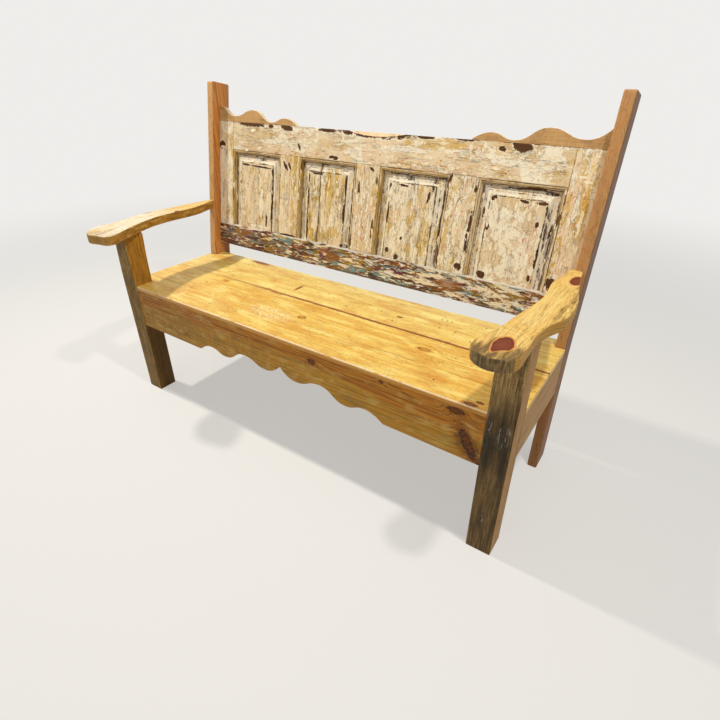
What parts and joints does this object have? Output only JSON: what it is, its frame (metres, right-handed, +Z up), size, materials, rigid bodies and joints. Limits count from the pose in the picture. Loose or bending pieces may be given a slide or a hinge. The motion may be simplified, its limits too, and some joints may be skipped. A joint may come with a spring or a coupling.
{
  "type": "bench with arms",
  "caption": "Wooden bench with a board seat, wavy apron, raked panelled back, crest pieces and curved arms on square front legs.",
  "frame": {"origin": "on the floor, at the middle of the bench's bounding box in X and Y", "axes": "+X to the viewer's right along the bench, +Y to the back, +Z up"},
  "size_m": [1.5612, 0.728, 1.1],
  "materials": {
    "front_leg_wood": "weathered grey-brown timber, rubbed with wax, with dark stains",
    "post_wood": "old tan-brown softwood under a thin wax",
    "arm_wood": "worn yellow pine with red knots, grey at the nose",
    "seat_wood": "waxed honey-yellow pine boards with knots and nail holes",
    "apron_wood": "waxed pine with a reddish heart band over yellow sapwood",
    "side_rail_wood": "greyed pine under a thin wax",
    "hidden_wood": "plain sawn pine, unfinished",
    "crest_wood": "tan pine with brighter sawn edges",
    "door_frame_paint": "flaking cream paint over tan and olive coats, bare brown wood in the chips",
    "door_panel_paint": "flaking cream paint over tan and olive coats, bare brown wood in the chips",
    "moulding_paint": "cream paint worn through to dark brown along the edges",
    "back_rail_paint": "flaked layers of cream, blue-green, burgundy and rust paint over brown wood"
  },
  "bodies": {
    "root": {"left_front_leg": "front_leg_wood", "right_front_leg": "front_leg_wood", "left_rear_post": "post_wood", "right_rear_post": "post_wood", "left_arm": "arm_wood", "right_arm": "arm_wood", "seat_board_1": "seat_wood", "seat_board_2": "seat_wood", "seat_board_3": "seat_wood", "seat_board_4": "seat_wood", "front_apron": "apron_wood", "left_side_rail": "side_rail_wood", "right_side_rail": "side_rail_wood", "rear_seat_rail": "hidden_wood", "seat_batten_1": "hidden_wood", "seat_batten_2": "hidden_wood", "back_bottom_rail": "back_rail_paint", "door_left_stile": "door_frame_paint", "door_right_stile": "door_frame_paint", "door_top_rail": "door_frame_paint", "door_muntin_1": "door_frame_paint", "door_muntin_2": "door_frame_paint", "door_muntin_3": "door_frame_paint", "door_panel_1": "door_panel_paint", "door_panel_2": "door_panel_paint", "door_panel_3": "door_panel_paint", "door_panel_4": "door_panel_paint", "panel_1_left_moulding": "moulding_paint", "panel_1_top_moulding": "moulding_paint", "panel_1_right_moulding": "moulding_paint", "panel_2_left_moulding": "moulding_paint", "panel_2_top_moulding": "moulding_paint", "panel_2_right_moulding": "moulding_paint", "panel_3_left_moulding": "moulding_paint", "panel_3_top_moulding": "moulding_paint", "panel_3_right_moulding": "moulding_paint", "panel_4_left_moulding": "moulding_paint", "panel_4_top_moulding": "moulding_paint", "panel_4_right_moulding": "moulding_paint", "crest_left": "crest_wood", "crest_right": "crest_wood"}
  },
  "joints": []
}
